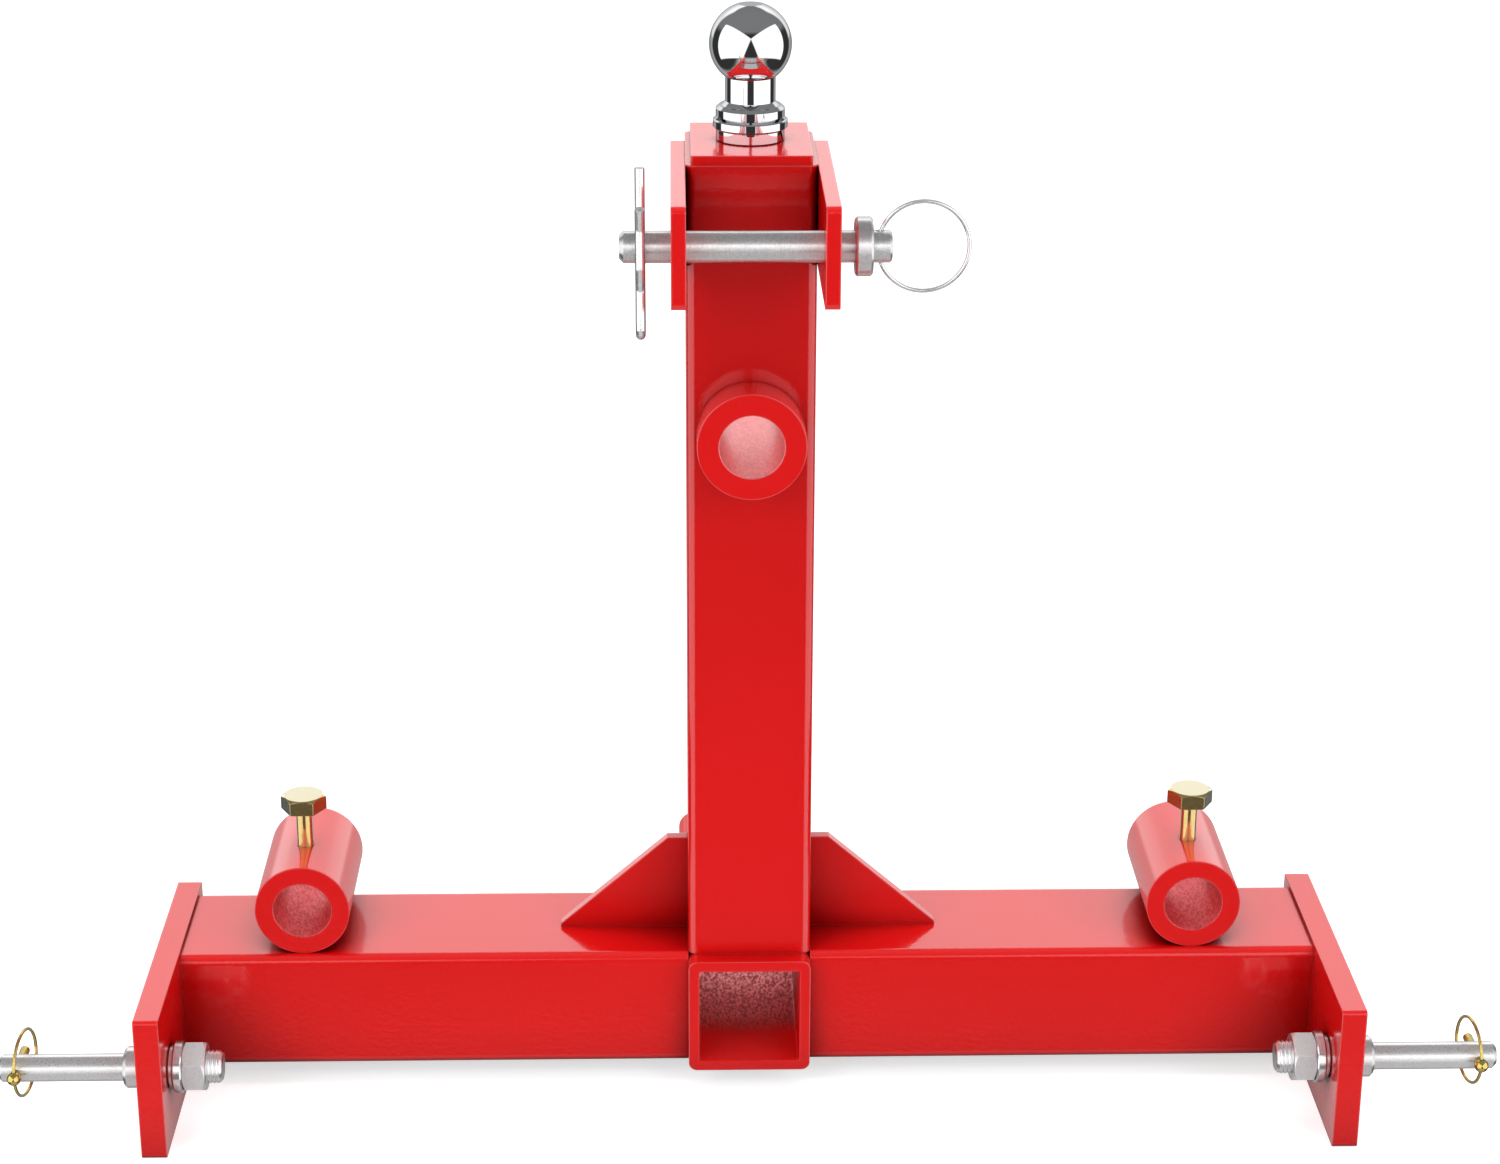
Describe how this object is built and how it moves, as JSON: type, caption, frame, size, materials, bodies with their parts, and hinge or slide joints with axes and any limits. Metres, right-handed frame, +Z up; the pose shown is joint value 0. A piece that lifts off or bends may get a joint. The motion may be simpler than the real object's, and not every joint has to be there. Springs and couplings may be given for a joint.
{
  "type": "three point receiver hitch",
  "caption": "Welded three point hitch frame with a mast, a crossbar, a square receiver socket, a top-link clevis, lift pins, pipe sleeves with set screws and a trailer ball.",
  "frame": {"origin": "the middle of the hitch's box, on the level of the end plates' lower edges", "axes": "+X to the hitch's right seen from the tractor, +Y from the tractor side to the load side, +Z up the mast"},
  "size_m": [0.766, 0.2444, 0.564],
  "materials": {
    "red_paint": "smooth glossy powder coat",
    "satin_zinc": "satin zinc plate",
    "bright_zinc": "bright zinc plate",
    "yellow_zinc": "yellow passivated zinc plate",
    "ball_chrome": "polished chrome plate"
  },
  "bodies": {
    "frame": {"mast_tube": "red_paint", "cap_plate": "red_paint", "receiver_tube": "red_paint", "receiver_collar": "red_paint", "crossbar_left": "red_paint", "crossbar_right": "red_paint", "end_plate_left": "red_paint", "end_plate_right": "red_paint", "gusset_left": "red_paint", "gusset_right": "red_paint", "centre_boss": "red_paint", "side_sleeve_left": "red_paint", "side_sleeve_right": "red_paint", "clevis_ear_left": "red_paint", "clevis_ear_right": "red_paint", "lift_pin_left": "satin_zinc", "lift_pin_right": "satin_zinc", "lift_nut_left": "bright_zinc", "lift_nut_right": "bright_zinc", "lock_washer_left": "bright_zinc", "lock_washer_right": "bright_zinc", "flat_washer_left": "bright_zinc", "flat_washer_right": "bright_zinc", "linchpin_left": "yellow_zinc", "linchpin_right": "yellow_zinc", "trailer_ball": "ball_chrome", "ball_washer": "ball_chrome", "ball_lock_washer": "ball_chrome", "ball_nut": "bright_zinc"},
    "top_pin": {"top_pin": "satin_zinc"},
    "pull_ring": {"pull_ring": "bright_zinc"},
    "r_clip": {"r_clip": "bright_zinc"},
    "linch_ring_left": {"linch_ring_left": "yellow_zinc"},
    "linch_ring_right": {"linch_ring_right": "yellow_zinc"},
    "set_screw_left": {"set_screw_left": "yellow_zinc"},
    "set_screw_right": {"set_screw_right": "yellow_zinc"}
  },
  "joints": [
    {"name": "top_pin_turn", "type": "hinge", "parent": "frame", "child": "top_pin", "pos_m": [0, -0.09795, 0.46895], "axis": [1, 0, 0], "continuous": true},
    {"name": "clip_pull", "type": "slide", "parent": "top_pin", "child": "r_clip", "axis": [0, 0, -1], "range_m": [0, 0.08]},
    {"name": "pull_ring_swing", "type": "hinge", "parent": "top_pin", "child": "pull_ring", "pos_m": [0.0575, -0.09795, 0.46895], "axis": [0, 0, 1], "range_deg": [-85, 85]},
    {"name": "linch_ring_left_swing", "type": "hinge", "parent": "frame", "child": "linch_ring_left", "pos_m": [-0.3735, -0.10075, 0.038], "axis": [0, 0, 1], "range_deg": [0, 170]},
    {"name": "linch_ring_right_swing", "type": "hinge", "parent": "frame", "child": "linch_ring_right", "pos_m": [0.3735, -0.10075, 0.038], "axis": [0, 0, -1], "range_deg": [0, 170]},
    {"name": "set_screw_left_travel", "type": "slide", "parent": "frame", "child": "set_screw_left", "axis": [0, 0, 1], "range_m": [-0.018, 0.008]},
    {"name": "set_screw_right_travel", "type": "slide", "parent": "frame", "child": "set_screw_right", "axis": [0, 0, 1], "range_m": [-0.018, 0.008]}
  ]
}
